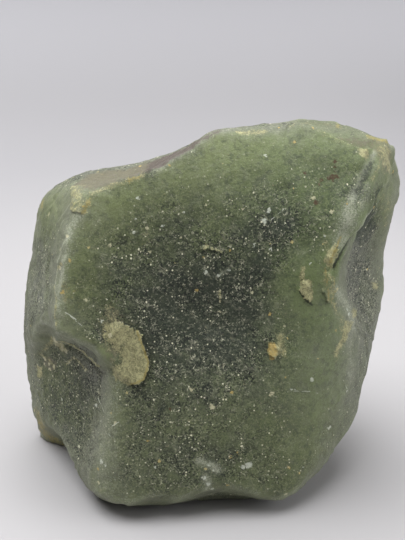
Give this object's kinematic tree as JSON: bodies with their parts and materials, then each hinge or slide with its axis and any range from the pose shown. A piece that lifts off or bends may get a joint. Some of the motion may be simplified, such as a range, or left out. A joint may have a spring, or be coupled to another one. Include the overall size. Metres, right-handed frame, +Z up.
{
  "type": "raw aventurine",
  "caption": "Rough broken chunk of translucent green stone with a broad hollowed front, a shell-shaped scoop low on one side and worn ridges.",
  "frame": {"origin": "on the surface the stone rests on, under the middle of its bounding box", "axes": "+Z up, -Y out of the broad front face, +X to the stone's right as seen from the front"},
  "size_m": [0.0858, 0.0553, 0.0777],
  "materials": {
    "aventurine": "waxy, slightly glittering broken quartz with pale dusty edges"
  },
  "bodies": {
    "root": {"stone": "aventurine"}
  },
  "joints": []
}
